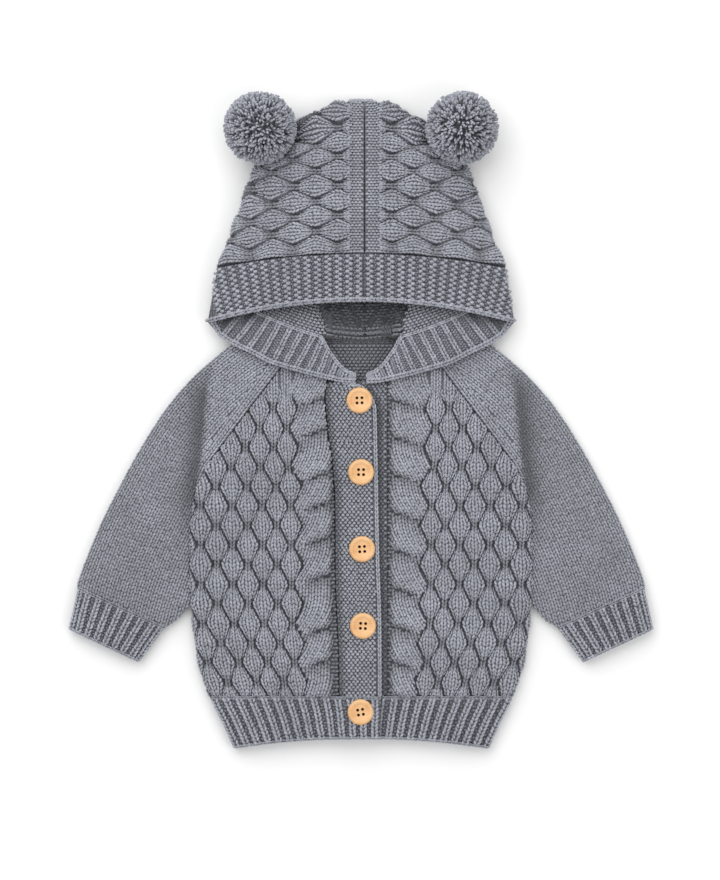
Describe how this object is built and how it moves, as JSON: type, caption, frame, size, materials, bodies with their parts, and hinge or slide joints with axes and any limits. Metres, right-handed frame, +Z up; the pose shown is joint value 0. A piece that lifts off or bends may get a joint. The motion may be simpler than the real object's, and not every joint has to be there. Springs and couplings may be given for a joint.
{
  "type": "baby cardigan",
  "caption": "Hooded baby cardigan in chunky knit, laid flat: bubble and cable fronts, ribbed hem, cuffs and hood band, button placket, two pompom ears.",
  "frame": {"origin": "on the surface the cardigan lies on, in the middle of the back a little below the neck", "axes": "+Y towards the hood, +X towards the left sleeve, +Z up from the back to the front of the garment"},
  "size_m": [0.4486, 0.5032, 0.058],
  "materials": {
    "yarn": "soft heather blue-grey chunky knit",
    "wood": "pale satin wood"
  },
  "bodies": {
    "root": {"body_back": "yarn", "hem_back": "yarn", "front_right": "yarn", "front_left": "yarn", "hem_right": "yarn", "hem_left": "yarn", "band_top": "yarn", "band_under": "yarn", "sleeve_right": "yarn", "sleeve_left": "yarn", "cuff_right": "yarn", "cuff_left": "yarn", "hood_right": "yarn", "hood_left": "yarn", "hood_band": "yarn", "pompom_right": "yarn", "pompom_left": "yarn", "button_1": "wood", "button_2": "wood", "button_3": "wood", "button_4": "wood", "button_5": "wood"}
  },
  "joints": []
}
